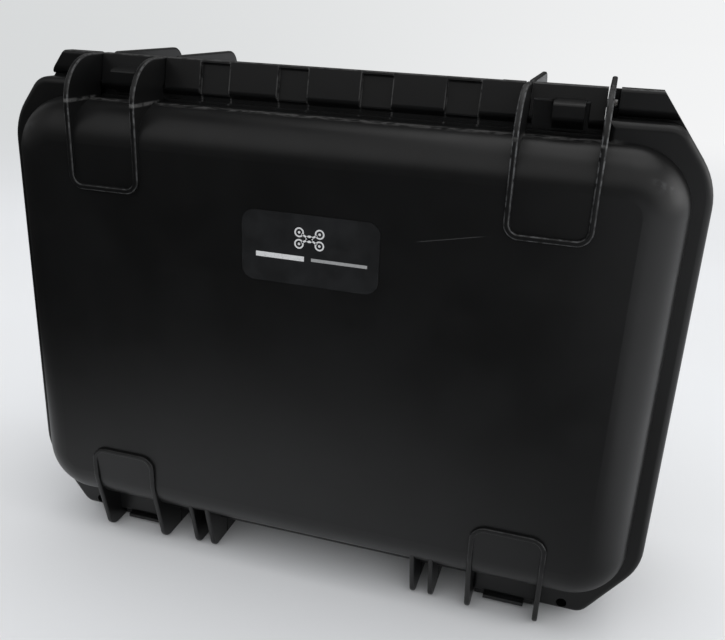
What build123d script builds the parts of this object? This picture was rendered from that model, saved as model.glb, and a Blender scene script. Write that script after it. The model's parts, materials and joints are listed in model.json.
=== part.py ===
from build123d import *
import os

# Carrying case for a folding camera aircraft, standing on its latch edge.
# +X runs along the case, +Y from the lid to the base, +Z up to the hinge edge.
# The origin is on the floor, under the middle of the case.

# ---------------------------------------------------------------- driving sizes
FLOOR = 0.0
TOP = 298.0                 # top of the hinge fins and of the hinge rail
FRONT = -62.0               # face of the lid
BACK = 64.0                 # back of the base
SPLIT = FRONT + 30.0        # plane where the lid meets the base
PROUD = 2.0                 # ridges stand this far off the lid's face
SPLIT_GAP = 0.3             # clear space between lid and base
LID_END = SPLIT - SPLIT_GAP / 2
BASE_START = SPLIT + SPLIT_GAP / 2

SHELL_HALF = 182.0          # half the length of the moulded shells
SHELL_LOW = 24.0            # latch-side wall of both shells
SHELL_HIGH = 274.5          # hinge-side wall of both shells
SHELL_R = 31.0
FACE_R = 22.0               # rounding round the lid's face
BACK_R = 16.0               # rounding round the base's back
LID_WALL = 3.2
BASE_WALL = 4.6

RIM_HALF = 191.0            # half the length over the rims
RIM_LOW = 6.0               # rims at the latches
RIM_MID_LOW = 16.0          # rims between the latches
RIM_HIGH = 284.0            # rims outside the hinges
FLANGE_FRONT = FRONT + 21.0
RIM_BACK = BASE_START + 8.0

FIN_T = 3.0                 # hinge fins, latch fins and handle ribs
FIN_INNER = 97.6            # near face of the inner fin
FIN_OUTER = 140.0           # far face of the outer fin
FIN_XS = (FIN_INNER, FIN_OUTER - FIN_T)
FIN_ROUND = 1.1
SLIDE_GAP = 0.4             # side gap of a hinge arm in its slot

PIN_Y = FRONT + 36.0        # hinge axis
PIN_Z = TOP - 7.5
PIN_R = 2.0
ARM_R = 7.5                 # hinge arm round its pin
RUNNING = 0.08              # radial clearance of a turning fit
SEATED = 0.02               # radial clearance of a pin in its own body
PIN_START = 89.0
PIN_END = 141.8

RAIL_BACK = PIN_Y + ARM_R
PANEL_LOW = 281.5           # lower edge of the rail's front panels
LAND_HIGH = 276.0           # top of the narrow land above the seal
PANEL_RECESS = 3.35
RAIL_LEAN = 3.4             # the panels lean back this far at the top
POCKETS = ((14.5, 31.3), (59.1, 76.2))
POCKET_DEEP = 2.0
GUSSET_XS = (0, 14.5, 31.3, 59.1, 76.2, 86.0)
GUSSET_T = 3.0
WEB_BACK = PIN_Y + 16.0     # back of the web from each end bar to the hinge wing

LATCH_Y = FRONT + 48.0      # latch axis
LATCH_Z = 9.0
LATCH_EYE_R = 6.5
LATCH_SIDE_GAP = 0.7
HANDLE_Y = FRONT + 48.0     # handle axis
HANDLE_Z = 10.5
HANDLE_EYE_R = 7.0
HANDLE_PIN_R = 2.5
GRIP_Y = 30.0
BAR_R = 5.5
RIB_XS = (64.0, 75.0)       # near faces of the handle ribs

PADLOCK_X, PADLOCK_Z, PADLOCK_R = 152.0, 11.0, 3.0
SEAL_IN, SEAL_W, SEAL_DEEP = 178.8, 3.2, 3.5
VALVE_Y = 6.0
FOAM_GAP = 0.8
TRAY_FRONT, TRAY_BACK = SPLIT + 1.5, 35.0
LABEL_LOW, LABEL_HIGH, LABEL_HALF, LABEL_T = 190.0, 228.0, 37.7, 0.4

# Pockets of the foam tray: name, low X, high X, low Z, high Z
TRAY_POCKETS = (
    ("aircraft", -162.0, 60.0, 44.0, 142.0),
    ("controller", -162.0, -6.0, 160.0, 252.0),
    ("modules", 12.0, 60.0, 160.0, 252.0),
    ("battery_low", 78.0, 162.0, 44.0, 88.0),
    ("battery_mid", 78.0, 162.0, 104.0, 148.0),
    ("battery_high", 78.0, 162.0, 164.0, 208.0),
    ("charger", 78.0, 162.0, 222.0, 252.0),
)

SIDES = {"left": -1, "right": 1}
os.makedirs("parts", exist_ok=True)


# ---------------------------------------------------------------- helpers
def facing(depth):
    """The plane seen from the front at one depth, with X to the right and Z up."""
    return Plane.XZ.offset(-depth)


def slab(half, low, high, radius, front, back, mode=Mode.ADD):
    """A rounded rectangle seen from the front, from one depth to another."""
    with BuildSketch(facing(back)) as outline:
        with Locations((0, (low + high) / 2)):
            RectangleRounded(2 * half, high - low, radius)
    extrude(outline.sketch, amount=back - front, mode=mode)


def block(x_low, x_high, z_low, z_high, front, back, mode=Mode.ADD):
    """A plain block given by its faces."""
    with BuildSketch(facing(back)) as outline:
        with Locations(((x_low + x_high) / 2, (z_low + z_high) / 2)):
            Rectangle(x_high - x_low, z_high - z_low)
    extrude(outline.sketch, amount=back - front, mode=mode)


def plate(x_low, x_high, corners, mode=Mode.ADD):
    """A plate across X whose outline is a list of (Y, Z, corner radius)."""
    with BuildSketch(Plane.YZ.offset(x_low)) as outline:
        with BuildLine():
            points = [(y, z) for y, z, _ in corners]
            FilletPolyline(*points, radius=[r for _, _, r in corners], close=True)
        make_face()
    extrude(outline.sketch, amount=x_high - x_low, mode=mode)


def rod(x_low, x_high, y, z, radius, mode=Mode.ADD):
    """A round bar along X."""
    with BuildSketch(Plane.YZ.offset(x_low)) as outline:
        with Locations((y, z)):
            Circle(radius)
    extrude(outline.sketch, amount=x_high - x_low, mode=mode)


def both(low, high):
    """The same span of X on the left and on the right of the case."""
    return ((low, high), (-high, -low))


def rim_outline(inner_end):
    """The front view of a rim, as (X, Z, corner radius) down the right and up the left."""
    right = [
        (inner_end, SHELL_HIGH - 4, 0), (inner_end, RIM_HIGH, 0), (172.5, RIM_HIGH, 13),
        (RIM_HALF, 259.3, 38), (RIM_HALF, 43.8, 34), (163.6, RIM_LOW, 9),
        (FIN_INNER + 1.4, RIM_LOW, 0), (FIN_INNER + 1.4, RIM_MID_LOW, 0),
    ]
    return right + [(-x, z, r) for x, z, r in reversed(right)]


def rim(front, back, inner_end):
    """The rim of one shell between two depths; above, it starts beyond each outer hinge arm."""
    with BuildSketch(facing(back)) as outline:
        with BuildLine():
            corners = rim_outline(inner_end)
            points = [(x, z) for x, z, _ in corners]
            FilletPolyline(*points, radius=[r for _, _, r in corners], close=True)
        make_face()
    extrude(outline.sketch, amount=back - front)


def ridge_ring(low, high, radius, keep_low, keep_high):
    """The rounded end of a raised U on the lid's face, cut from a ring."""
    middle = ((FIN_INNER + FIN_OUTER) / 2, (low + high) / 2)
    wide = FIN_OUTER - FIN_INNER
    with BuildSketch(facing(FRONT + 1)) as outline:
        with Locations(middle):
            RectangleRounded(wide, high - low, radius)
            inner = (wide - 2 * FIN_T, high - low - 2 * FIN_T, radius - FIN_T)
            RectangleRounded(*inner, mode=Mode.SUBTRACT)
        with Locations((middle[0], (keep_low + keep_high) / 2)):
            Rectangle(wide + 2, keep_high - keep_low, mode=Mode.INTERSECT)
    extrude(outline.sketch, amount=PROUD + 1)


def soften_rim_of_fin(part, radius):
    """Rounds the long outer edges of a fin plate on both its sides."""
    sides = part.faces().filter_by(Axis.X)
    fillet(sides.edges().filter_by(lambda e: e.length > 2 * radius), radius)


def save(name, part):
    """Labels one finished piece and writes it."""
    part.label = name
    export_step(part, f"parts/{name}.step")


# ---------------------------------------------------------------- fins and ribs
# Hinge arm of the lid: up the face, over the top and round the pin.
with BuildPart() as hinge_arm:
    plate(0, FIN_T, [
        (FRONT - PROUD, 240, 0), (FRONT - PROUD, TOP, 25), (PIN_Y + ARM_R, TOP, ARM_R - 0.05),
        (PIN_Y + ARM_R, TOP - 2 * ARM_R, ARM_R - 0.05), (LID_END, TOP - 2 * ARM_R, 0),
        (LID_END, 262, 0), (FRONT + 8, 240, 0),
    ])
    soften_rim_of_fin(hinge_arm, FIN_ROUND)

# Latch fin of the lid: down the face to the floor and back to the split.
with BuildPart() as lid_latch_fin:
    plate(0, FIN_T, [
        (FRONT - PROUD, 60, 0), (FRONT + 12, 40, 0), (LID_END, 30, 0),
        (LID_END, FLOOR, 0), (FRONT + 9.5, FLOOR, 9), (FRONT - PROUD, 45, 20),
    ])
    soften_rim_of_fin(lid_latch_fin, FIN_ROUND)

# Handle rib of the lid, which starts at the edge of the rounded face.
with BuildPart() as lid_handle_rib:
    plate(0, FIN_T, [
        (FRONT + 3, 36, 0), (LID_END, 36, 0), (LID_END, FLOOR, 0),
        (FRONT + 12.5, FLOOR, 7),
    ])
    soften_rim_of_fin(lid_handle_rib, FIN_ROUND)

# Wing of the base behind each hinge arm.
with BuildPart() as hinge_wing:
    plate(0, FIN_T, [
        (PIN_Y + 3, 268, 0), (PIN_Y + 3, TOP - 2 * ARM_R - 1.5, 0),
        (RAIL_BACK + 4, TOP - 2 * ARM_R - 1.5, 3), (RAIL_BACK + 4, TOP, 4),
        (BACK, TOP, 10), (BACK, 250, 0), (BACK - 20, 250, 0), (BACK - 20, 268, 0),
    ])
    soften_rim_of_fin(hinge_wing, FIN_ROUND)

# Latch fin of the base, which is a foot for the whole depth of the case.
with BuildPart() as base_latch_fin:
    plate(0, FIN_T, [
        (BASE_START, 30, 0), (BASE_START, FLOOR, 0), (BACK, FLOOR, 10),
        (BACK, 50, 0), (BACK - 20, 50, 0), (BACK - 20, 30, 0),
    ])
    soften_rim_of_fin(base_latch_fin, FIN_ROUND)

# Handle rib of the base, round the handle's pin.
with BuildPart() as base_handle_rib:
    plate(0, FIN_T, [
        (BASE_START, 28, 0), (BASE_START, FLOOR, 0), (HANDLE_Y + 12, FLOOR, 8),
        (HANDLE_Y + 26, SHELL_LOW, 6), (HANDLE_Y + 26, 28, 0),
    ])
    soften_rim_of_fin(base_handle_rib, FIN_ROUND)


# ---------------------------------------------------------------- lid
with BuildPart() as lid_cavity:
    slab(SHELL_HALF - LID_WALL, SHELL_LOW + LID_WALL, SHELL_HIGH - LID_WALL,
         SHELL_R - LID_WALL, FRONT + LID_WALL, LID_END + 1)
    fillet(lid_cavity.faces().sort_by(Axis.Y)[0].edges(), FACE_R - LID_WALL)

with BuildPart() as lid_flange:
    rim(FLANGE_FRONT, LID_END, FIN_OUTER - 1)
    fillet(lid_flange.faces().sort_by(Axis.Y)[0].edges(), 3.5)

with BuildPart() as hinge_ridge:
    ridge_ring(228, 290, 8, 228, 244)
    fillet(hinge_ridge.faces().sort_by(Axis.Y)[0].edges().filter_by(
        lambda e: e.center().Z < 243.5), 1.0)

with BuildPart() as latch_ridge:
    ridge_ring(6, 65.6, 9, 50, 65.6)
    fillet(latch_ridge.faces().sort_by(Axis.Y)[0].edges().filter_by(
        lambda e: e.center().Z > 50.5), 1.0)

# The pad inside each latch ridge is level with it above and dies out in the face below.
with BuildPart() as latch_pad:
    plate(FIN_INNER + 1, FIN_OUTER - 1, [
        (FRONT - PROUD + 0.2, 64, 0), (FRONT - 0.1, 45.5, 0), (FRONT + 1, 45.5, 0),
        (FRONT + 1, 64, 0),
    ])
    with BuildSketch(facing(FRONT + 1)) as pad_outline:
        with Locations(((FIN_INNER + FIN_OUTER) / 2, 35)):
            RectangleRounded(FIN_OUTER - FIN_INNER - 2, 59, 8)
    extrude(pad_outline.sketch, amount=PROUD + 1, mode=Mode.INTERSECT)

with BuildPart() as lid_shell:
    slab(SHELL_HALF, SHELL_LOW, SHELL_HIGH, SHELL_R, FRONT, LID_END)
    fillet(lid_shell.faces().sort_by(Axis.Y)[0].edges(), FACE_R)
    add(lid_flange.part)
    add(hinge_ridge.part)
    add(latch_ridge.part)
    add(latch_pad.part)
    for x in FIN_XS:
        with Locations((x, 0, 0)):
            add(hinge_arm.part)
            add(lid_latch_fin.part)
    for x in RIB_XS:
        with Locations((x, 0, 0)):
            add(lid_handle_rib.part)
    mirror(about=Plane.YZ)
    add(lid_cavity.part, mode=Mode.SUBTRACT)
    rod(-FIN_OUTER - 1, FIN_OUTER + 1, PIN_Y, PIN_Z, PIN_R + RUNNING, mode=Mode.SUBTRACT)
    with BuildSketch(facing(LID_END)) as padlock_holes:
        with Locations((-PADLOCK_X, PADLOCK_Z), (PADLOCK_X, PADLOCK_Z)):
            Circle(PADLOCK_R)
    extrude(amount=LID_END - FLANGE_FRONT + 1, mode=Mode.SUBTRACT)
save("lid_shell", lid_shell.part)

with BuildPart() as name_label:
    slab(LABEL_HALF, LABEL_LOW, LABEL_HIGH, 7, FRONT - LABEL_T, FRONT)
save("name_label", name_label.part)

with BuildPart() as lid_foam_pad:
    slab(SHELL_HALF - LID_WALL - FOAM_GAP, SHELL_LOW + LID_WALL + FOAM_GAP,
         SHELL_HIGH - LID_WALL - FOAM_GAP, SHELL_R - LID_WALL - FOAM_GAP,
         FRONT + LID_WALL + 0.3, SPLIT - 2)
    fillet(lid_foam_pad.faces().sort_by(Axis.Y)[0].edges(), FACE_R - LID_WALL)
save("lid_foam_pad", lid_foam_pad.part)


# ---------------------------------------------------------------- base
with BuildPart() as base_cavity:
    slab(SHELL_HALF - BASE_WALL, SHELL_LOW + BASE_WALL, SHELL_HIGH - BASE_WALL,
         SHELL_R - BASE_WALL, BASE_START - 1, BACK - LID_WALL)
    fillet(base_cavity.faces().sort_by(Axis.Y)[-1].edges(), BACK_R - LID_WALL)

with BuildPart() as base_rim:
    rim(BASE_START, RIM_BACK, FIN_OUTER + 0.6)
    fillet(base_rim.faces().sort_by(Axis.Y)[-1].edges(), 2.5)

# Rounded bar of the base beyond each outer hinge arm, cut to the rim's slanted corner.
with BuildPart() as end_bar:
    with BuildSketch(facing(BACK)) as bar_outline:
        with BuildLine():
            Polyline((142.5, 262), (142.5, TOP), (162, TOP), (185, 267.3), (185, 262), close=True)
        make_face()
    extrude(amount=BACK - FRONT)
    plate(142, 190, [
        (FRONT + 33, TOP, 2), (FRONT + 33, RIM_HIGH + 0.8, 4.8), (RIM_BACK - 0.1, RIM_HIGH + 0.8, 0),
        (RIM_BACK - 0.1, 262, 0), (RAIL_BACK + 1, 262, 0), (RAIL_BACK + 1, TOP, 3),
    ], mode=Mode.INTERSECT)
    # web that joins the bar to the hinge wing, clear of the turning arm
    for start, front in ((FIN_OUTER - 0.5, WEB_BACK - 4), (142.5, RAIL_BACK)):
        plate(start, 146, [
            (front, TOP - 1.5, 0), (front, 268, 0), (WEB_BACK, 268, 0), (WEB_BACK, TOP - 1.5, 0),
        ])

# Hinge rail between the arms' slots, leaning back, with a rounded underside in front.
rail_front = [
    (BASE_START + RAIL_LEAN, TOP, 0.8), (BASE_START, PANEL_LOW, 2.5),
    (BASE_START + PANEL_RECESS, PANEL_LOW - 3, 1), (BASE_START + PANEL_RECESS, LAND_HIGH, 0),
    (BASE_START, LAND_HIGH, 0), (BASE_START, 270, 0),
]
# Knuckle block in the middle of each hinge; its underside turns clear of the lid.
knuckle = [
    (FRONT + 25, PIN_Z - 1, 1.5), (FRONT + 25, PIN_Z - 8, 3), (BASE_START, PIN_Z - 12.8, 1),
    (BASE_START + 4, PIN_Z - 12.8, 0), (BASE_START + 4, PIN_Z + 2, 0),
]
gusset = [(RIM_BACK - 3, TOP - 2, 0), (RIM_BACK - 3, 272, 0), (18, 272, 0), (16, 275.5, 0)]
KNUCKLE_XS = (112.4, 127.3)
DEEP_POCKETS = ((102.5, 112.4), (127.3, 129.5))
TAB_GROOVES = ((112.7, 113.3), (126.4, 127.0))
TAB_LOW = PIN_Z + 0.5

with BuildPart() as base_shell:
    slab(SHELL_HALF, SHELL_LOW, SHELL_HIGH, SHELL_R, BASE_START, BACK)
    fillet(base_shell.faces().sort_by(Axis.Y)[-1].edges(), BACK_R)
    add(base_rim.part)
    plate(-FIN_OUTER + FIN_T + SLIDE_GAP, FIN_OUTER - FIN_T - SLIDE_GAP,
          rail_front + [(RIM_BACK - 1, 270, 0), (RIM_BACK - 1, TOP, 0.8)])
    for low, high in both(*KNUCKLE_XS):
        plate(low, high, knuckle)
    for low, high in both(PIN_START - 3, FIN_OUTER - FIN_T - SLIDE_GAP):
        plate(low, high, [
            (RIM_BACK - 2, 268, 0), (RIM_BACK - 2, TOP, 0),
            (RAIL_BACK, TOP, 5), (RAIL_BACK, 268, 0),
        ])
    for x in sorted({side * x for x in GUSSET_XS for side in SIDES.values()}):
        plate(x - GUSSET_T / 2, x + GUSSET_T / 2, gusset)
    # shallow pockets between the rail's front panels
    for pocket in POCKETS:
        for low, high in both(*pocket):
            plate(low, high, [
                (BASE_START - 1, LAND_HIGH, 0), (BASE_START - 1, TOP - 1.4, 0),
                (BASE_START + RAIL_LEAN + POCKET_DEEP, TOP - 1.4, 1.2),
                (BASE_START + POCKET_DEEP, PANEL_LOW - 1, 0),
                (BASE_START + POCKET_DEEP, LAND_HIGH, 0),
            ], Mode.SUBTRACT)
    # deep pockets beside each knuckle block, and the fine joints beside its tab
    for pocket in DEEP_POCKETS:
        for low, high in both(*pocket):
            block(low, high, LAND_HIGH, PIN_Z + 0.5, FRONT + 20, BASE_START + 4, Mode.SUBTRACT)
    for groove in TAB_GROOVES:
        for low, high in both(*groove):
            block(low, high, TAB_LOW, TOP + 1, FRONT + 20, BASE_START + 0.8, Mode.SUBTRACT)
    # slots for the lid's inner hinge arms
    for low, high in both(FIN_INNER - SLIDE_GAP, FIN_INNER + FIN_T + SLIDE_GAP):
        block(low, high, TOP - 2 * ARM_R - 0.7, TOP + 1, FRONT, RAIL_BACK + 1, Mode.SUBTRACT)
    for side in SIDES.values():
        for x in FIN_XS:
            with Locations((x if side > 0 else -x - FIN_T, 0, 0)):
                add(hinge_wing.part)
                add(base_latch_fin.part)
        for x in RIB_XS:
            with Locations((x if side > 0 else -x - FIN_T, 0, 0)):
                add(base_handle_rib.part)
    add(end_bar.part)
    add(mirror(end_bar.part, about=Plane.YZ, mode=Mode.PRIVATE))
    add(base_cavity.part, mode=Mode.SUBTRACT)
    # seal groove under the lid's wall
    with BuildSketch(facing(BASE_START + SEAL_DEEP)) as seal_groove:
        with Locations((0, (SHELL_LOW + SHELL_HIGH) / 2)):
            RectangleRounded(2 * SHELL_HALF, SHELL_HIGH - SHELL_LOW, SHELL_R)
            RectangleRounded(2 * SEAL_IN, SHELL_HIGH - SHELL_LOW - 2 * SEAL_W,
                             SHELL_R - SEAL_W, mode=Mode.SUBTRACT)
    extrude(seal_groove.sketch, amount=SEAL_DEEP + 1, mode=Mode.SUBTRACT)
    # shallow panel in the back
    slab(SHELL_HALF - 42, SHELL_LOW + 42, SHELL_HIGH - 42, 14, BACK - 1.2, BACK + 1,
         Mode.SUBTRACT)
    with BuildSketch(facing(RIM_BACK + 1)) as rim_holes:
        with Locations((-PADLOCK_X, PADLOCK_Z), (PADLOCK_X, PADLOCK_Z)):
            Circle(PADLOCK_R)
    extrude(rim_holes.sketch, amount=RIM_BACK - BASE_START + 2, mode=Mode.SUBTRACT)
    # pin bores
    for low, high in both(PIN_START - 0.3, FIN_OUTER - FIN_T):
        rod(low, high, PIN_Y, PIN_Z, PIN_R + SEATED, mode=Mode.SUBTRACT)
    for low, high in both(FIN_INNER - 1, FIN_OUTER + 1):
        rod(low, high, LATCH_Y, LATCH_Z, PIN_R + SEATED, mode=Mode.SUBTRACT)
    for low, high in both(RIB_XS[0] - 1, RIB_XS[1] + FIN_T + 1):
        rod(low, high, HANDLE_Y, HANDLE_Z, HANDLE_PIN_R + SEATED, mode=Mode.SUBTRACT)
    # hole for the pressure valve
    with BuildSketch(Plane.XY.offset(SHELL_LOW - 1)) as valve_hole:
        with Locations((0, VALVE_Y)):
            Circle(5.0)
    extrude(valve_hole.sketch, amount=BASE_WALL + 2, mode=Mode.SUBTRACT)
save("base_shell", base_shell.part)

with BuildPart() as rim_seal:
    with BuildSketch(facing(BASE_START + SEAL_DEEP - 0.05)) as ring:
        with Locations((0, (SHELL_LOW + SHELL_HIGH) / 2)):
            RectangleRounded(2 * SHELL_HALF - 0.2, SHELL_HIGH - SHELL_LOW - 0.2, SHELL_R - 0.1)
            RectangleRounded(2 * SEAL_IN + 0.2, SHELL_HIGH - SHELL_LOW - 2 * SEAL_W + 0.2,
                             SHELL_R - SEAL_W + 0.1, mode=Mode.SUBTRACT)
    extrude(ring.sketch, amount=SEAL_DEEP)
save("rim_seal", rim_seal.part)


# ---------------------------------------------------------------- foam in the base
FOAM_HALF = SHELL_HALF - BASE_WALL - FOAM_GAP
FOAM_LOW = SHELL_LOW + BASE_WALL + FOAM_GAP
FOAM_HIGH = SHELL_HIGH - BASE_WALL - FOAM_GAP
FOAM_R = SHELL_R - BASE_WALL - FOAM_GAP
VALVE_RELIEF_R = 12.0

with BuildPart() as foam_tray:
    slab(FOAM_HALF, FOAM_LOW, FOAM_HIGH, FOAM_R, TRAY_FRONT, TRAY_BACK)
    for _, x_low, x_high, z_low, z_high in TRAY_POCKETS:
        with BuildSketch(facing(TRAY_BACK + 1)) as pocket_outline:
            with Locations(((x_low + x_high) / 2, (z_low + z_high) / 2)):
                RectangleRounded(x_high - x_low, z_high - z_low, 8)
        extrude(pocket_outline.sketch, amount=TRAY_BACK - TRAY_FRONT + 2, mode=Mode.SUBTRACT)
    with BuildSketch(Plane.XY.offset(FOAM_LOW - 1)) as relief:
        with Locations((0, VALVE_Y)):
            Circle(VALVE_RELIEF_R)
    extrude(relief.sketch, amount=6, mode=Mode.SUBTRACT)
save("foam_tray", foam_tray.part)

with BuildPart() as foam_floor:
    slab(FOAM_HALF, FOAM_LOW, FOAM_HIGH, FOAM_R, TRAY_BACK + 0.1, BACK - LID_WALL - 0.3)
    fillet(foam_floor.faces().sort_by(Axis.Y)[-1].edges(), BACK_R - LID_WALL)
save("foam_floor", foam_floor.part)


# ---------------------------------------------------------------- pins, latches, handle
LATCH_LOW_X = FIN_INNER + FIN_T + LATCH_SIDE_GAP
LATCH_HIGH_X = FIN_OUTER - FIN_T - LATCH_SIDE_GAP
TONGUE_XS = (107.0, 130.6)
LATCH_TOP = RIM_LOW - 0.6
LATCH_BOTTOM = 1.2

for name, side in SIDES.items():
    with BuildPart() as hinge_pin:
        rod(*sorted((side * PIN_START, side * PIN_END)), PIN_Y, PIN_Z, PIN_R)
        chamfer(hinge_pin.edges(), 0.4)
    save(f"hinge_pin_{name}", hinge_pin.part)

    with BuildPart() as latch_pin:
        rod(*sorted((side * (FIN_INNER - 0.4), side * (FIN_OUTER + 0.4))), LATCH_Y, LATCH_Z, PIN_R)
        chamfer(latch_pin.edges(), 0.3)
    save(f"latch_pin_{name}", latch_pin.part)

    with BuildPart() as handle_pin:
        span = (side * (RIB_XS[0] - 0.5), side * (RIB_XS[1] + FIN_T + 0.5))
        rod(*sorted(span), HANDLE_Y, HANDLE_Z, HANDLE_PIN_R)
        chamfer(handle_pin.edges(), 0.4)
    save(f"handle_pin_{name}", handle_pin.part)

    with BuildPart() as latch:
        low, high = sorted((side * LATCH_LOW_X, side * LATCH_HIGH_X))
        plate(low, high, [
            (FRONT + 25, LATCH_BOTTOM, 1.5), (LATCH_Y - 1, LATCH_BOTTOM, 1),
            (LATCH_Y + 2, LATCH_TOP, 0), (FRONT + 25, LATCH_TOP, 1.5),
        ])
        rod(low, high, LATCH_Y, LATCH_Z, LATCH_EYE_R)
        plate(low, high, [
            (LATCH_Y - 12, LATCH_BOTTOM + 1, 0), (LATCH_Y, LATCH_BOTTOM + 1, 0),
            (LATCH_Y, LATCH_Z + 3, 0), (LATCH_Y - 5, LATCH_Z, 1), (LATCH_Y - 9.4, LATCH_TOP, 0),
        ])
        tongue = sorted((side * TONGUE_XS[0], side * TONGUE_XS[1]))
        plate(*tongue, [
            (FRONT + 19.5, LATCH_TOP - 2.6, 1), (FRONT + 28, LATCH_TOP - 2.6, 0),
            (FRONT + 28, LATCH_TOP, 0), (FRONT + 19.5, LATCH_TOP, 0.6),
        ])
        rod(low, high, LATCH_Y, LATCH_Z, PIN_R + RUNNING, mode=Mode.SUBTRACT)
        # finger grooves in the outer face
        for y in (FRONT + 29, FRONT + 33, FRONT + 37):
            rod(low + 4, high - 4, y, LATCH_BOTTOM - 0.6, 1.4, mode=Mode.SUBTRACT)
    save(f"latch_{name}", latch.part)

ARM_XS = (RIB_XS[0] + FIN_T + 0.4, RIB_XS[1] - 0.4)
with BuildPart() as handle_frame:
    for low, high in both(*ARM_XS):
        plate(low, high, [
            (HANDLE_Y - HANDLE_EYE_R, HANDLE_Z - HANDLE_EYE_R, HANDLE_EYE_R - 0.05),
            (GRIP_Y + 8, HANDLE_Z - 6, 5.9), (GRIP_Y + 8, HANDLE_Z + 6, 5.9),
            (HANDLE_Y - HANDLE_EYE_R, HANDLE_Z + HANDLE_EYE_R, HANDLE_EYE_R - 0.05),
        ])
    fillet(handle_frame.faces().filter_by(Axis.X).edges(), 1.2)
    rod(-ARM_XS[0] - 2, ARM_XS[0] + 2, GRIP_Y, HANDLE_Z, BAR_R)
    for low, high in both(ARM_XS[0] - 1, ARM_XS[1] + 1):
        rod(low, high, HANDLE_Y, HANDLE_Z, HANDLE_PIN_R + RUNNING, mode=Mode.SUBTRACT)
save("handle_frame", handle_frame.part)

GRIP_HALF = 60.0
with BuildPart() as handle_grip:
    with BuildSketch(Plane.YZ.offset(-GRIP_HALF)) as grip_section:
        with Locations((GRIP_Y, HANDLE_Z)):
            RectangleRounded(18, 14, 5.5)
    extrude(grip_section.sketch, amount=2 * GRIP_HALF)
    fillet(handle_grip.faces().filter_by(Axis.X).edges(), 2)
    rod(-GRIP_HALF - 1, GRIP_HALF + 1, GRIP_Y, HANDLE_Z, BAR_R + SEATED, mode=Mode.SUBTRACT)
save("handle_grip", handle_grip.part)


# ---------------------------------------------------------------- pressure valve
def disc(low, high, radius, mode=Mode.ADD):
    """A round disc about the valve's axis."""
    with BuildSketch(Plane.XY.offset(low)) as outline:
        with Locations((0, VALVE_Y)):
            Circle(radius)
    extrude(outline.sketch, amount=high - low, mode=mode)


with BuildPart() as valve_body:
    disc(SHELL_LOW - 4, SHELL_LOW, 12)
    chamfer(valve_body.edges().group_by(Axis.Z)[0], 1)
    disc(SHELL_LOW, SHELL_LOW + 8.2, 4.95)
    disc(SHELL_LOW - 1.5, SHELL_LOW, 8.0, Mode.SUBTRACT)
    disc(SHELL_LOW - 1.5, SHELL_LOW, 6.0)
    disc(SHELL_LOW - 4, SHELL_LOW + 8.2, 1.5, Mode.SUBTRACT)
save("valve_body", valve_body.part)

with BuildPart() as valve_seal:
    disc(SHELL_LOW - 1.45, SHELL_LOW - 0.02, 7.9)
    disc(SHELL_LOW - 1.45, SHELL_LOW - 0.02, 6.1, Mode.SUBTRACT)
save("valve_seal", valve_seal.part)

with BuildPart() as valve_cap:
    disc(SHELL_LOW - 6.4, SHELL_LOW - 4, 9.5)
    fillet(valve_cap.edges().group_by(Axis.Z)[0], 1)
    with BuildSketch(Plane.XY.offset(SHELL_LOW - 6.4)) as coin_slot:
        with Locations((0, VALVE_Y)):
            Rectangle(12, 1.6)
    extrude(coin_slot.sketch, amount=1.2, mode=Mode.SUBTRACT)
save("valve_cap", valve_cap.part)

with BuildPart() as valve_nut:
    with BuildSketch(Plane.XY.offset(SHELL_LOW + BASE_WALL)) as nut:
        with Locations((0, VALVE_Y)):
            RegularPolygon(9, 6)
            Circle(4.95 + SEATED, mode=Mode.SUBTRACT)
    extrude(nut.sketch, amount=3.4)
save("valve_nut", valve_nut.part)
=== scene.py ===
"""Looks of the drone carrying case: its plastics, foams, rubber, label, floor, light and camera.

Lengths are in metres, in the frame of the CAD model: X along the case, Y from the lid's face
to the base, Z up from the floor to the hinge edge.
"""

import json
import math

import bmesh
import bpy
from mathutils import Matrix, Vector, noise


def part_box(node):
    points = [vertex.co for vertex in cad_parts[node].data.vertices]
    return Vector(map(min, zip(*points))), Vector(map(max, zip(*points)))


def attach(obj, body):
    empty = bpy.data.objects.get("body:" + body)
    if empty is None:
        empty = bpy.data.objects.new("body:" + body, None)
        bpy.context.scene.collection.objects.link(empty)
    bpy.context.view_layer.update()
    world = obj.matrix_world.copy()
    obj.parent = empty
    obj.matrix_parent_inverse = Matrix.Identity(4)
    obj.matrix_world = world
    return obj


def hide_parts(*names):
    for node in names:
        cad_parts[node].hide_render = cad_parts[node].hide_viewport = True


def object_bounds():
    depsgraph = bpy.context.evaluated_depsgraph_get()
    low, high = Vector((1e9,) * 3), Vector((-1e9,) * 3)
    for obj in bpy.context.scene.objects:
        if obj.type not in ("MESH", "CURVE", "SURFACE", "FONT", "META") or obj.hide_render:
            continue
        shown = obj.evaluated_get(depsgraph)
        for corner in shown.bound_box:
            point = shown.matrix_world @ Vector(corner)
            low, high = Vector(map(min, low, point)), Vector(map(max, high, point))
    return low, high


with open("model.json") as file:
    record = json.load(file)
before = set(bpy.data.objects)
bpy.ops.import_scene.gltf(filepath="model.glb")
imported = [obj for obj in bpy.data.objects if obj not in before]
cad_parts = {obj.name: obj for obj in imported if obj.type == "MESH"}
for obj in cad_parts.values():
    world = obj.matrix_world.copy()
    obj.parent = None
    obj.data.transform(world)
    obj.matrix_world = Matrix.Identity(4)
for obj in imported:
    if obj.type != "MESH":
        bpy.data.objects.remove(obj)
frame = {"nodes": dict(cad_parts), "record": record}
cad_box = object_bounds()

MM = 0.001
FACE_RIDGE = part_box("lid_shell")[0].y  # the front of the raised outlines
CASE_TOP = cad_box[1].z
BASE_FOAM_R = 25.6 * MM
RAIL_EDGES = (14.5 * MM, 31.3 * MM, 59.1 * MM, 76.2 * MM)


# ---------------------------------------------------------------- node trees


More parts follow.
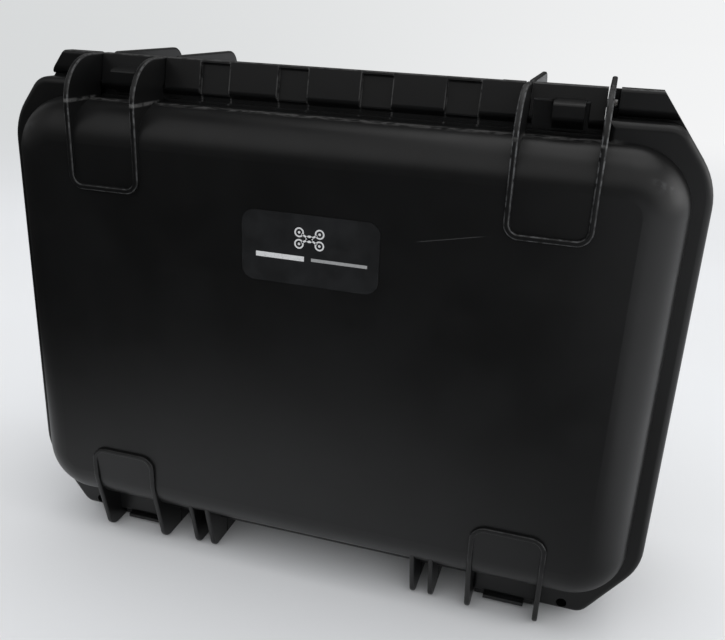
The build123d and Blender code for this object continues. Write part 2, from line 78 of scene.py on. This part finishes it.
class Look:
    """One procedural material, built node by node."""

    def __init__(self, name, roughness=0.5, specular=0.5):
        self.material = bpy.data.materials.new(name)
        self.material.use_nodes = True
        self.tree = self.material.node_tree
        self.shader = self.tree.nodes["Principled BSDF"]
        self.shader.inputs["Roughness"].default_value = roughness
        self.shader.inputs["Specular IOR Level"].default_value = specular
        self.place = self.add("ShaderNodeTexCoord").outputs["Object"]
        self.heights = []

    def add(self, kind, inputs=None, **settings):
        node = self.tree.nodes.new(kind)
        for key, value in settings.items():
            setattr(node, key, value)
        for key, value in (inputs or {}).items():
            self.feed(node.inputs[key], value)
        return node

    def feed(self, socket, value):
        if isinstance(value, bpy.types.NodeSocket):
            self.tree.links.new(value, socket)
        else:
            socket.default_value = value

    def math(self, operation, a, b=0.0, c=0.0, clamp=False):
        node = self.add("ShaderNodeMath", {0: a, 1: b, 2: c}, operation=operation)
        node.use_clamp = clamp
        return node.outputs[0]

    def vector(self, operation, a, b=(0, 0, 0), output=0):
        node = self.add("ShaderNodeVectorMath", {0: a, 1: b}, operation=operation)
        return node.outputs[output]

    def axes(self):
        """The place's X, Y and Z."""
        return self.add("ShaderNodeSeparateXYZ", {0: self.place}).outputs

    def noise(self, scale, detail=3.0, stretch=None, spin=(0, 0, 0)):
        """Noise with features about 1 / scale metres across."""
        where = self.place
        if stretch:
            where = self.add(
                "ShaderNodeMapping", {"Vector": where, "Scale": stretch, "Rotation": spin}
            ).outputs[0]
        node = self.add("ShaderNodeTexNoise", {"Vector": where, "Scale": scale, "Detail": detail})
        return node.outputs["Fac"]

    def cells(self, scale, feature="F1"):
        node = self.add(
            "ShaderNodeTexVoronoi", {"Vector": self.place, "Scale": scale}, feature=feature
        )
        return node.outputs["Distance"]

    def span(self, value, low, high, start=0.0, end=1.0):
        """value from low to high becomes start to end, smoothly, and stays there beyond."""
        node = self.add(
            "ShaderNodeMapRange",
            {"Value": value, "From Min": low, "From Max": high, "To Min": start, "To Max": end},
            interpolation_type="SMOOTHSTEP",
        )
        return node.outputs[0]

    def times(self, *values):
        product = values[0]
        for value in values[1:]:
            product = self.math("MULTIPLY", product, value)
        return product

    def blend(self, share, first, second):
        node = self.add("ShaderNodeMix", data_type="RGBA")
        node.clamp_factor = True
        for socket, value in ((0, share), (6, first), (7, second)):
            self.feed(node.inputs[socket], value)
        return node.outputs[2]

    def edges(self, radius, low=0.03, high=0.25, samples=4):
        """A mask of the edges: where a rounded corner of this radius would tilt the surface."""
        rounded = self.add("ShaderNodeBevel", {"Radius": radius}, samples=samples).outputs[0]
        flat = self.add("ShaderNodeNewGeometry").outputs["Normal"]
        tilt = self.math("SUBTRACT", 1.0, self.vector("DOT_PRODUCT", rounded, flat, "Value"))
        return self.span(tilt, low, high)

    def shoulder(self, share):
        """A mask of the rounded edges, from the share of the normal along one axis."""
        size = self.math("ABSOLUTE", share)
        return self.times(self.span(size, 0.2, 0.5), self.span(size, 0.985, 0.9))

    def bump(self, height, depth):
        """Adds a relief of this depth in metres."""
        self.heights.append((height, depth))

    def finish(self, color, roughness=None):
        self.feed(self.shader.inputs["Base Color"], color)
        if roughness is not None:
            self.feed(self.shader.inputs["Roughness"], roughness)
        normal = None
        for height, depth in self.heights:
            node = self.add("ShaderNodeBump", {"Height": height, "Distance": depth, "Strength": 1.0})
            if normal is not None:
                self.feed(node.inputs["Normal"], normal)
            normal = node.outputs[0]
        if normal is not None:
            self.feed(self.shader.inputs["Normal"], normal)
        return self.material


def grey(value, cool=0.0):
    return (value, value * (1 + cool * 0.4), value * (1 + cool), 1.0)


# ---------------------------------------------------------------- materials


def moulded(
    name, dark, light, shine, grain=0.014 * MM, wear=0.5, worn=0.045, radius=0.45 * MM
):
    """Black moulded plastic with a fine spark grain, cloudy tone and rubbed edges."""
    look = Look(name, specular=0.42)
    cloud = look.noise(22, 5)
    handled = look.noise(40, 3)
    color = look.blend(look.span(cloud, 0.35, 0.68), grey(dark), grey(light, 0.05))
    patches = look.span(look.noise(320, 6), 0.40, 0.68)
    rub = look.times(look.edges(radius), patches, wear)
    color = look.blend(rub, color, grey(worn, 0.03))
    roughness = look.math(
        "ADD", look.span(handled, 0.3, 0.7, shine - 0.02, shine + 0.03), look.times(rub, 0.18)
    )
    look.bump(look.noise(2600, 2), grain)
    look.bump(look.noise(160, 3), 2 * grain)
    return look, color, roughness


def shell_look():
    """The case's satin polypropylene, with the wear, hairlines and dust that the photo shows."""
    # Besides real wear, the pale marks on the raised outlines, hinge arms and rail edges below hold
    # painted highlights.
    look, color, roughness = moulded("case_plastic", 0.0030, 0.0040, 0.35, wear=0.4)
    x, y, z = look.axes()

    # The rounded edges of the raised outlines and of the hinge arms are painted pale: partly rubbed
    # wear, partly a painted highlight, stronger to the right and, on the outlines, higher up.
    facing = look.add("ShaderNodeTexCoord").outputs["Normal"]
    across, along, _ = look.add("ShaderNodeSeparateXYZ", {0: facing}).outputs
    fine = look.span(look.noise(380, 6), 0.36, 0.62)
    ridge_wear_and_highlight = look.times(
        look.shoulder(along),
        look.span(y, FACE_RIDGE + 1.3 * MM, FACE_RIDGE + 0.9 * MM),
        look.span(z, 0.10, 0.22, 0.35, 1.0),
        look.span(x, -0.10, 0.10, 0.5, 1.0),
        fine,
    )
    tip_y, tip_z = FACE_RIDGE + 24 * MM, CASE_TOP - 24 * MM
    over = look.add("ShaderNodeCombineXYZ", {0: 0.0, 1: y, 2: z}).outputs[0]
    reach = look.vector("DISTANCE", over, (0, tip_y, tip_z), "Value")
    arm = look.times(
        look.shoulder(across),
        look.span(reach, 20.5 * MM, 22.5 * MM),
        look.span(z, tip_z - 20 * MM, tip_z - 8 * MM),
        look.span(y, tip_y + 16 * MM, tip_y + 4 * MM),
        look.span(x, -0.10, 0.10, 0.6, 1.0),
        fine,
    )
    color = look.blend(look.times(ridge_wear_and_highlight, 0.6), color, grey(0.085, 0.03))
    color = look.blend(look.times(arm, 0.6), color, grey(0.11, 0.03))

    # The hinge rail's panel edges and top edge are painted pale: partly rubbed wear, partly painted
    # highlight lines where these edges catch the light.
    aside = look.math("ABSOLUTE", x)
    off_edge = None
    for edge in RAIL_EDGES:
        off = look.math("ABSOLUTE", look.math("SUBTRACT", aside, edge))
        off_edge = off if off_edge is None else look.math("MINIMUM", off_edge, off)
    off_edge = look.math("MINIMUM", off_edge, look.math("SUBTRACT", CASE_TOP, z))
    rail_wear_and_highlight = look.times(
        look.span(off_edge, 0.7 * MM, 0.35 * MM),
        look.span(y, -34 * MM, -33 * MM),
        look.span(y, -26 * MM, -27.5 * MM),
        look.span(z, 274.5 * MM, 276 * MM),
        look.span(look.noise(300, 6), 0.34, 0.6),
    )
    color = look.blend(look.times(rail_wear_and_highlight, 0.7), color, grey(0.06, -0.03))

    # Dust lies in the crease where the lid's wall meets the hinge rail.
    crease = look.times(
        look.span(z, 273.6 * MM, 274.6 * MM),
        look.span(z, 276.4 * MM, 275.4 * MM),
        look.span(y, -36 * MM, -39 * MM),
        look.span(look.math("ABSOLUTE", x), 150 * MM, 138 * MM),
        look.span(look.noise(260, 6), 0.36, 0.6),
    )
    color = look.blend(look.times(crease, 0.6), color, grey(0.12, -0.04))

    # Hairlines: long thin marks in two directions, in a few places.
    hairs = None
    for turn, place in ((0.35, 9), (-0.9, 7)):
        line = look.span(look.noise(1.0, 2, (18, 18, 2600), (0, turn, 0)), 0.70, 0.76)
        line = look.times(line, look.span(look.noise(place, 2), 0.52, 0.62))
        hairs = line if hairs is None else look.math("MAXIMUM", hairs, line)
    color = look.blend(look.times(hairs, 0.2), color, grey(0.035))

    # One longer scratch crosses the lid's face between the label and the right hinge.
    slant = look.math("MULTIPLY_ADD", x, -0.205, z)
    off_line = look.math("ABSOLUTE", look.math("SUBTRACT", slant, 209.4 * MM))
    scratch = look.times(
        look.span(off_line, 0.35 * MM, 0.1 * MM),
        look.span(x, 55 * MM, 60 * MM),
        look.span(x, 91 * MM, 84 * MM),
        look.span(y, FACE_RIDGE + 4 * MM, FACE_RIDGE + 3 * MM),
    )
    color = look.blend(look.times(scratch, 0.55), color, grey(0.05))
    return look.finish(color, roughness)


def nylon_look(name, dark=0.008, light=0.014):
    look, color, roughness = moulded(name, dark, light, 0.38, grain=0.012 * MM, wear=0.25)
    return look.finish(color, roughness)


def rubber_look(name, base, grain):
    """Soft black rubber: no gloss, with a faint bloom."""
    look = Look(name, specular=0.3)
    bloom = look.span(look.noise(40, 5), 0.4, 0.7)
    color = look.blend(bloom, grey(base), grey(base * 1.7, -0.05))
    look.bump(look.noise(1500, 3), grain)
    roughness = look.span(look.noise(300, 3), 0.3, 0.7, 0.62, 0.78)
    return look.finish(color, roughness)


def foam_look(name, base, pore, cut):
    """Open or closed cell foam: matt, with pores of 1 / pore metres and a cut surface."""
    look = Look(name, specular=0.15)
    pores = look.cells(pore)
    cloud = look.span(look.noise(18, 4), 0.35, 0.65)
    color = look.blend(cloud, grey(base, 0.10), grey(base * 1.45, 0.12))
    # The pore hollows are darkened: painted shade.
    pore_shade = look.span(pores, 0.42, 0.12)
    color = look.blend(look.times(pore_shade, 0.55), color, grey(base * 0.35, 0.1))
    dust = look.times(look.span(look.noise(700, 3), 0.62, 0.74), 0.35)
    color = look.blend(dust, color, grey(base * 2.6, 0.05))
    look.bump(pores, cut)
    look.bump(look.noise(pore * 0.35, 4), cut * 1.2)
    roughness = look.span(look.noise(400, 2), 0.3, 0.7, 0.88, 1.0)
    return look.finish(color, roughness)


def steel_look():
    """Plain turned steel, brushed round its axis along X."""
    look = Look("pin_metal", specular=0.5)
    look.shader.inputs["Metallic"].default_value = 1.0
    turned = look.noise(1.0, 4, (9000, 300, 300))
    stain = look.span(look.noise(260, 4), 0.45, 0.7)
    color = look.blend(turned, grey(0.16, 0.02), grey(0.26, 0.02))
    color = look.blend(look.times(stain, 0.5), color, (0.16, 0.14, 0.12, 1.0))
    look.bump(turned, 0.01 * MM)
    roughness = look.span(stain, 0.0, 1.0, 0.28, 0.5)
    return look.finish(color, roughness)


def film_look():
    """The label's matt film: a little cooler and lighter than the lid, with a fine weave."""
    look = Look("label_film", specular=0.35)
    cloud = look.span(look.noise(60, 4), 0.35, 0.65)
    color = look.blend(cloud, grey(0.0085, 0.10), grey(0.0115, 0.14))
    rub = look.times(look.edges(0.4 * MM), look.span(look.noise(200, 4), 0.5, 0.65), 0.4)
    color = look.blend(rub, color, grey(0.05))
    look.bump(look.noise(3200, 2), 0.008 * MM)
    roughness = look.span(look.noise(120, 4), 0.3, 0.7, 0.36, 0.46)
    return look.finish(color, roughness)


def ink_look(name, tone):
    """Screen-printed ink, thin in places."""
    look = Look(name, specular=0.4)
    thin = look.span(look.noise(900, 4), 0.52, 0.72)
    color = look.blend(look.times(thin, 0.5), grey(tone), grey(tone * 0.55, 0.03))
    look.bump(look.noise(2400, 2), 0.006 * MM)
    roughness = look.span(look.noise(500, 3), 0.3, 0.7, 0.42, 0.55)
    return look.finish(color, roughness)


LOOKS = {
    "case_shell": shell_look(),
    "latch_plastic": nylon_look("latch_nylon"),
    "handle_plastic": nylon_look("handle_nylon"),
    "valve_plastic": nylon_look("valve_nylon", 0.010, 0.018),
    "grip_rubber": rubber_look("grip_rubber", 0.012, 0.05 * MM),
    "seal_rubber": rubber_look("seal_rubber", 0.008, 0.015 * MM),
    "foam_soft": foam_look("open_cell_foam", 0.030, 1500, 0.30 * MM),
    "foam_dense": foam_look("closed_cell_foam", 0.024, 2400, 0.16 * MM),
    "label_film": film_look(),
    "pin_steel": steel_look(),
}
for part in frame["record"]["subparts"]:
    mesh = frame["nodes"][part["node"]].data
    mesh.materials.clear()
    mesh.materials.append(LOOKS[part["material_slot"]])


# ---------------------------------------------------------------- soft pieces


def piece(name, mesh, body, slot, look=None):
    """A new piece with this mesh, riding on a body and finished as its slot says."""
    shape = bpy.data.objects.new(name, mesh)
    bpy.context.scene.collection.objects.link(shape)
    mesh.materials.clear()
    mesh.materials.append(look or LOOKS[slot])
    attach(shape, body)
    return shape


def smooth(mesh):
    for face in mesh.polygons:
        face.use_smooth = True


def rounded(x0, x1, z0, z1, r, steps=8):
    """The loop of a rectangle with round corners, as (x, z)."""
    corners = ((x1 - r, z1 - r), (x0 + r, z1 - r), (x0 + r, z0 + r), (x1 - r, z0 + r))
    loop = []
    for start, (cx, cz) in enumerate(corners):
        for k in range(steps + 1):
            turn = (start + k / steps) * math.pi / 2
            loop.append((cx + r * math.cos(turn), cz + r * math.sin(turn)))
    return loop


def outline_curve(name, loops):
    """A flat filled curve from closed loops of (x, z); a loop inside another is a hole."""
    drawing = bpy.data.curves.new(name, "CURVE")
    drawing.dimensions = "2D"
    drawing.fill_mode = "BOTH"
    for loop in loops:
        line = drawing.splines.new("POLY")
        line.points.add(len(loop) - 1)
        for point, (x, z) in zip(line.points, loop):
            point.co = (x, z, 0, 1)
        line.use_cyclic_u = True
    return drawing


def mesh_of(shape):
    """The finished mesh of an object with its modifiers, taking the object away."""
    bpy.context.scene.collection.objects.link(shape)
    graph = bpy.context.evaluated_depsgraph_get()
    mesh = bpy.data.meshes.new_from_object(shape.evaluated_get(graph))
    bpy.data.objects.remove(shape)
    return mesh


def tray():
    """The base's foam: a sheet with its pockets cut through and all its edges worn round."""
    low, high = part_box("foam_tray")
    edge = 1.4 * MM
    loops = [rounded(low.x, high.x, low.z, high.z, BASE_FOAM_R)]
    for opening in frame["record"]["physics"]["openings"]:
        if "pocket" in opening["name"]:
            (x0, _, z0), (x1, _, z1) = opening["box_m"]
            gap = 2.6 * MM
            loops.append(rounded(x0 - gap, x1 + gap, z0 - gap, z1 + gap, 8 * MM))
    drawing = outline_curve("foam_tray_outline", loops)
    drawing.extrude = (high.y - low.y) / 2 - edge
    drawing.bevel_depth = edge
    drawing.bevel_resolution = 4
    drawing.offset = -edge
    mesh = mesh_of(bpy.data.objects.new("foam_tray_outline", drawing))
    middle = (low.y + high.y) / 2
    for vertex in mesh.vertices:
        x, z, depth = vertex.co
        vertex.co = (x, middle - depth, z)
    smooth(mesh)
    relief(mesh, low.z)
    shape = piece("foam_tray_cut", mesh, "base", "foam_dense")
    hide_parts("foam_tray")


def relief(mesh, low_z):
    """Cuts the round recess that keeps the tray clear of the pressure valve."""
    valve_low, valve_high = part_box("valve_body")
    tool = bpy.data.meshes.new("valve_relief")
    drum = bmesh.new()
    bmesh.ops.create_cone(
        drum, cap_ends=True, segments=48, radius1=12 * MM, radius2=12 * MM, depth=10 * MM
    )
    drum.to_mesh(tool)
    drum.free()
    cutter = bpy.data.objects.new("valve_relief", tool)
    cutter.location = (0, (valve_low.y + valve_high.y) / 2, low_z)
    bpy.context.scene.collection.objects.link(cutter)
    block = bpy.data.objects.new("foam_tray_block", mesh.copy())
    cut = block.modifiers.new("valve_relief", "BOOLEAN")
    cut.object = cutter
    cut.solver = "EXACT"
    done = mesh_of(block)
    shape = bmesh.new()
    shape.from_mesh(done)
    shape.to_mesh(mesh)
    shape.free()
    bpy.data.objects.remove(cutter)


def foam_sheet():
    """The plain foam under the tray, rounded at the back like the shell round it."""
    low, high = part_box("foam_floor")
    round_edge, soft = 12.8 * MM, 1.0 * MM
    levels = [(low.y, soft + 0.5 * MM), (low.y, soft)]
    levels += [(low.y + soft * (1 - math.cos(t)), soft * (1 - math.sin(t))) for t in quarter(4)]
    levels += [
        (high.y - round_edge * (1 - math.sin(t)), round_edge * (1 - math.cos(t)))
        for t in quarter(10)
    ]
    levels.append((high.y, round_edge + 0.5 * MM))
    grid = bmesh.new()
    rings = []
    for y, inset in levels:
        loop = rounded(low.x + inset, high.x - inset, low.z + inset, high.z - inset,
                       BASE_FOAM_R - inset)
        rings.append([grid.verts.new((x, y, z)) for x, z in loop])
    for first, second in zip(rings, rings[1:]):
        for k in range(len(first)):
            n = (k + 1) % len(first)
            grid.faces.new((first[k], first[n], second[n], second[k]))
    grid.faces.new(rings[0])
    grid.faces.new(rings[-1])
    bmesh.ops.recalc_face_normals(grid, faces=grid.faces)
    mesh = bpy.data.meshes.new("foam_floor_sheet")
    grid.to_mesh(mesh)
    grid.free()
    smooth(mesh)
    shape = piece("foam_floor_sheet", mesh, "base", "foam_dense")
    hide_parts("foam_floor")


def quarter(steps):
    """Angles from 0 to a right angle."""
    return [math.pi / 2 * k / steps for k in range(steps + 1)]


def egg_crate():
    """The lid's foam: shaped to the lid in front and waved on the side that holds the contents."""
    low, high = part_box("lid_foam_pad")
    corner, round_edge = 27 * MM, 18.8 * MM
    columns, rows = 168, 116
    wave, depth, skin = 24 * MM, 11 * MM, 1.2 * MM
    half = (high.x - low.x) / 2
    middle = (low.z + high.z) / 2
    reach = (high.z - low.z) / 2
    grid = bmesh.new()

    def half_width(z):
        past = max(0.0, abs(z - middle) - (reach - corner))
        return half - corner + math.sqrt(max(0.0, corner**2 - past**2))

    def inward(x, z):
        """The distance in from the pad's outline."""
        past_x = abs(x) - (half - corner)
        past_z = abs(z - middle) - (reach - corner)
        if past_x > 0 and past_z > 0:
            return max(0.0, corner - math.hypot(past_x, past_z))
        return max(0.0, min(half - abs(x), reach - abs(z - middle)))

    def crate(x, z):
        """0 in a valley and 1 on a peak."""
        turn = 2 * math.pi / wave
        hills = 0.5 + 0.25 * (math.cos(turn * x) + math.cos(turn * (z - middle)))
        return hills * hills * (3 - 2 * hills)

    front, back = [], []
    for j in range(rows + 1):
        bend = math.sin(math.pi * (j / rows - 0.5))
        z = middle + reach * (0.72 * (2 * j / rows - 1) + 0.28 * bend)
        width = half_width(z)
        for i in range(columns + 1):
            x = width * (2 * i / columns - 1)
            edge = inward(x, z)
            off_round = max(0.0, round_edge - edge)
            shell_side = low.y + round_edge - math.sqrt(round_edge**2 - off_round**2)
            droop = math.exp(-edge / skin) * 2.2 * MM
            lumps = 0.5 * MM * noise.noise(Vector((x, 0, z)) * 60)
            y = high.y - 0.3 * MM - depth * (1 - crate(x, z)) - droop + lumps
            y = min(max(y, shell_side + 2.5 * MM), high.y)
            back.append(grid.verts.new((x, y, z)))
            front.append(grid.verts.new((x, shell_side + 0.1 * MM, z)))
    across = columns + 1
    for j in range(rows):
        for i in range(columns):
            a, b = j * across + i, j * across + i + 1
            c, d = b + across, a + across
            grid.faces.new((back[d], back[c], back[b], back[a]))
            grid.faces.new((front[a], front[b], front[c], front[d]))
    rim = [i for i in range(across)]
    rim += [j * across + columns for j in range(1, rows + 1)]
    rim += [rows * across + i for i in range(columns - 1, -1, -1)]
    rim += [j * across for j in range(rows - 1, 0, -1)]
    for a, b in zip(rim, rim[1:] + rim[:1]):
        grid.faces.new((front[b], front[a], back[a], back[b]))
    bmesh.ops.recalc_face_normals(grid, faces=grid.faces)
    mesh = bpy.data.meshes.new("lid_egg_crate")
    grid.to_mesh(mesh)
    grid.free()
    smooth(mesh)
    shape = piece("lid_egg_crate", mesh, "lid", "foam_soft")
    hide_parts("lid_foam_pad")


def sleeve():
    """The handle's soft sleeve, with waves under the fingers and rounded lips at its ends."""
    low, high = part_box("handle_grip")
    middle = (low + high) / 2
    half = (high - low) / 2
    rings, points = 96, 40
    fingers, wave, lip = 4, 1.3 * MM, 2.2 * MM
    power = 3.2
    grid = bmesh.new()
    loops = []
    for i in range(rings + 1):
        along = 2 * i / rings - 1
        x = middle.x + half.x * along
        from_end = half.x - abs(x - middle.x)
        ending = 1 - 0.22 * max(0.0, 1 - from_end / lip) ** 2
        dip = wave * (0.5 - 0.5 * math.cos(2 * math.pi * fingers * (along + 1) / 2))
        inside = max(0.0, 1 - from_end / (6 * MM))
        dip *= 1 - inside
        ring = []
        for k in range(points):
            turn = 2 * math.pi * k / points
            c, s = math.cos(turn), math.sin(turn)
            size = (abs(c) ** power + abs(s) ** power) ** (-1 / power)
            y = half.y * size * c * ending
            z = half.z * size * s * ending
            z -= dip * max(0.0, s) * 1.0
            ring.append(grid.verts.new((x, middle.y + y, middle.z + z)))
        loops.append(ring)
    for first, second in zip(loops, loops[1:]):
        for k in range(points):
            n = (k + 1) % points
            grid.faces.new((first[k], first[n], second[n], second[k]))
    grid.faces.new(loops[0])
    grid.faces.new(loops[-1])
    bmesh.ops.recalc_face_normals(grid, faces=grid.faces)
    mesh = bpy.data.meshes.new("grip_sleeve")
    grid.to_mesh(mesh)
    grid.free()
    smooth(mesh)
    shape = piece("grip_sleeve", mesh, "handle", "grip_rubber")
    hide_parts("handle_grip")


tray()
foam_sheet()
egg_crate()
sleeve()


# ---------------------------------------------------------------- label print


def printed(name, outlines, tone):
    """Flat printed shapes on the label: each outline is a loop of (x, z), with loops inside it."""
    label_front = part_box("name_label")[0].y - 0.03 * MM
    drawing = outline_curve(name, outlines)
    flat = bpy.data.objects.new(name + "_outline", drawing)
    mesh = bpy.data.meshes.new_from_object(flat)
    bpy.data.objects.remove(flat)
    for vertex in mesh.vertices:
        vertex.co = (vertex.co.x, label_front, vertex.co.y)
    mesh.name = name
    return piece(name, mesh, "lid", "label_film", ink_look(name + "_ink", tone))


def circle(x, z, r, steps=32):
    """A closed loop of (x, z) round a centre."""
    turns = [2 * math.pi * k / steps for k in range(steps)]
    return [(x + r * math.cos(t), z + r * math.sin(t)) for t in turns]


def bar(x, z, half_x, half_z, spin=0.0):
    """The four corners of a bar, turned by spin in radians."""
    c, s = math.cos(spin), math.sin(spin)
    corners = ((-half_x, -half_z), (half_x, -half_z), (half_x, half_z), (-half_x, half_z))
    return [(x + u * c - v * s, z + u * s + v * c) for u, v in corners]


# A plain pictogram of a four-rotor aircraft over two bars.
MARK_TONE = 0.62
ARM_TURN = 0.503  # from the horizontal, towards the rotors
label_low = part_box("name_label")[0]
mark_z = label_low.z + 25.5 * MM
rotor, arm = 2.6 * MM, 5.6 * MM
mark = []
for sx in (-1, 1):
    for sz in (-0.55, 0.55):
        mark.append(circle(sx * arm, mark_z + sz * arm, rotor))
        mark.append(circle(sx * arm, mark_z + sz * arm, rotor - 0.8 * MM))
        mark.append(circle(sx * arm, mark_z + sz * arm, 0.7 * MM, 16))
printed("label_rotors", mark, MARK_TONE)
printed("label_arms", [bar(0, mark_z, 4.9 * MM, 0.5 * MM, ARM_TURN)], MARK_TONE)
printed("label_arms_b", [bar(0, mark_z, 4.9 * MM, 0.5 * MM, -ARM_TURN)], MARK_TONE)
printed("label_hull", [circle(0, mark_z, 2.0 * MM)], MARK_TONE)
line_z = label_low.z + 14.5 * MM
printed("label_bar_bold", [bar(-16.2 * MM, line_z, 13.5 * MM, 1.35 * MM)], 0.60)
printed("label_bar_thin", [bar(16.4 * MM, line_z, 15.2 * MM, 0.85 * MM)], 0.30)


# ---------------------------------------------------------------- floor, light and camera


FLOOR_R = 12.0
LEFT_TONE = (0.68, 0.695, 0.70, 1.0)
RIGHT_TONE = (0.91, 0.915, 0.92, 1.0)
FAR_REFLECTION = 0.012  # what glossy surfaces see of the floor and walls far from the case
CAMERA_AT = (0.13996, -0.4482, 0.32975)
CAMERA_TURN_DEG = (68.965, -2.530, 16.816)
LENS, SENSOR = 40.85, 36  # in millimetres, as the camera wants them


def backdrop(look, sideways):
    """The backdrop's tone, with painted shade that makes it darker to the left; sideways is the X of
    a horizontal direction.
    """
    return look.blend(look.span(sideways, -0.75, 0.3), LEFT_TONE, RIGHT_TONE)


def floor():
    """A round pale floor that far away fades into a glow of the backdrop's tone, and that shows a
    painted dark shade in reflections away from the case.
    """
    mesh = bpy.data.meshes.new("studio_floor")
    disc = bmesh.new()
    bmesh.ops.create_circle(disc, cap_ends=True, segments=96, radius=FLOOR_R)
    disc.to_mesh(mesh)
    disc.free()
    surface = bpy.data.objects.new("studio_floor", mesh)
    bpy.context.scene.collection.objects.link(surface)
    surface.location = (0, 0, cad_box[0].z)
    look = Look("studio_paper", roughness=0.9, specular=0.0)
    look.finish(look.blend(look.span(look.noise(3, 2), 0.3, 0.7), grey(0.80), grey(0.82, 0.01)))
    away = look.vector("LENGTH", look.place, output="Value")
    sideways = look.math("DIVIDE", look.axes()[0], look.math("MAXIMUM", away, 0.01))
    glow = look.add("ShaderNodeEmission", {"Color": backdrop(look, sideways)}).outputs[0]
    seen = look.add("ShaderNodeMixShader", {0: look.span(away, 0.7, 2.2)})
    look.feed(seen.inputs[1], look.shader.outputs[0])
    look.feed(seen.inputs[2], glow)
    # Painted shade: glossy rays that reach the floor away from the case see a dim emitted grey
    # instead of the lit floor.
    shade = look.add("ShaderNodeEmission", {"Color": grey(FAR_REFLECTION)}).outputs[0]
    spread = look.vector("DISTANCE", look.place, (-0.08, 0, 0), "Value")
    left_of_case = look.span(look.axes()[0], 0.35, 0.15)
    fading = look.times(look.span(spread, 0.10, 0.42), left_of_case)
    reflected = look.add("ShaderNodeMixShader", {0: fading})
    look.feed(reflected.inputs[1], look.shader.outputs[0])
    look.feed(reflected.inputs[2], shade)
    glossy = look.add("ShaderNodeLightPath").outputs["Is Glossy Ray"]
    both = look.add("ShaderNodeMixShader", {0: glossy})
    look.feed(both.inputs[1], seen.outputs[0])
    look.feed(both.inputs[2], reflected.outputs[0])
    look.feed(look.tree.nodes["Material Output"].inputs["Surface"], both.outputs[0])
    mesh.materials.append(look.material)


class Room(Look):
    """The world's nodes, built the same way as a material's."""

    def __init__(self, tree):
        self.tree = tree
        tree.nodes.clear()
        self.place = self.add("ShaderNodeTexCoord").outputs["Generated"]

    def grey_of(self, value):
        return self.add("ShaderNodeCombineColor", {0: value, 1: value, 2: value}).outputs[0]


def studio():
    """The room: pale where it is seen, dark walls and a soft bright top where it is reflected."""
    world = bpy.data.worlds.new("studio")
    bpy.context.scene.world = world
    world.use_nodes = True
    room = Room(world.node_tree)
    x, y, z = room.axes()
    high = room.times(room.span(z, 0.12, 0.55), room.span(z, 1.0, 0.7, 0.3, 1.0))
    front = room.times(high, room.span(y, 0.3, -0.6), 0.22)
    back = room.times(high, room.span(y, 0.2, 0.9), 0.30)
    right = room.times(room.span(x, 0.3, 1.0), room.span(z, 0.8, 0.2), 1.3)
    left = room.times(room.span(x, -0.3, -0.9), room.span(z, 0.9, 0.4), 0.16)
    tone = room.math("ADD", room.math("ADD", front, back), room.math("ADD", right, left))
    tone = room.math("ADD", tone, FAR_REFLECTION)
    reflected = room.add("ShaderNodeBackground", {"Color": room.grey_of(tone)}).outputs[0]
    seen = room.add("ShaderNodeBackground", {"Color": backdrop(room, x)}).outputs[0]
    fill = room.add(
        "ShaderNodeBackground", {"Color": (0.95, 0.97, 1.0, 1), "Strength": 0.80}
    ).outputs[0]
    path = room.add("ShaderNodeLightPath").outputs
    first = room.add("ShaderNodeMixShader", {0: path["Is Glossy Ray"]})
    room.feed(first.inputs[1], fill)
    room.feed(first.inputs[2], reflected)
    second = room.add("ShaderNodeMixShader", {0: path["Is Camera Ray"]})
    room.feed(second.inputs[1], first.outputs[0])
    room.feed(second.inputs[2], seen)
    output = room.add("ShaderNodeOutputWorld")
    room.feed(output.inputs["Surface"], second.outputs[0])


def softbox(name, at, aim, size, power):
    """A rectangular lamp that faces a point."""
    lamp = bpy.data.lights.new(name, "AREA")
    lamp.shape = "RECTANGLE"
    lamp.size, lamp.size_y = size
    lamp.energy = power
    box = bpy.data.objects.new(name, lamp)
    box.location = at
    box.rotation_euler = (Vector(aim) - Vector(at)).to_track_quat("-Z", "Y").to_euler()
    bpy.context.scene.collection.objects.link(box)


def camera():
    lens = bpy.data.cameras.new("camera")
    lens.lens = LENS
    lens.sensor_width = SENSOR
    eye = bpy.data.objects.new("camera", lens)
    eye.location = CAMERA_AT
    eye.rotation_euler = [math.radians(turn) for turn in CAMERA_TURN_DEG]
    bpy.context.scene.collection.objects.link(eye)
    bpy.context.scene.camera = eye


floor()
studio()
softbox("front_light", (0.1, -1.0, 1.6), (0, 0, 0.1), (3.0, 2.2), 9)
softbox("top_light", (0.3, 0.3, 1.7), (0, 0, 0.1), (1.6, 1.3), 6)
softbox("side_light", (1.5, 0.0, 0.8), (0, 0, 0.15), (0.9, 0.9), 3)
camera()
bpy.context.scene.view_settings.view_transform = "Standard"
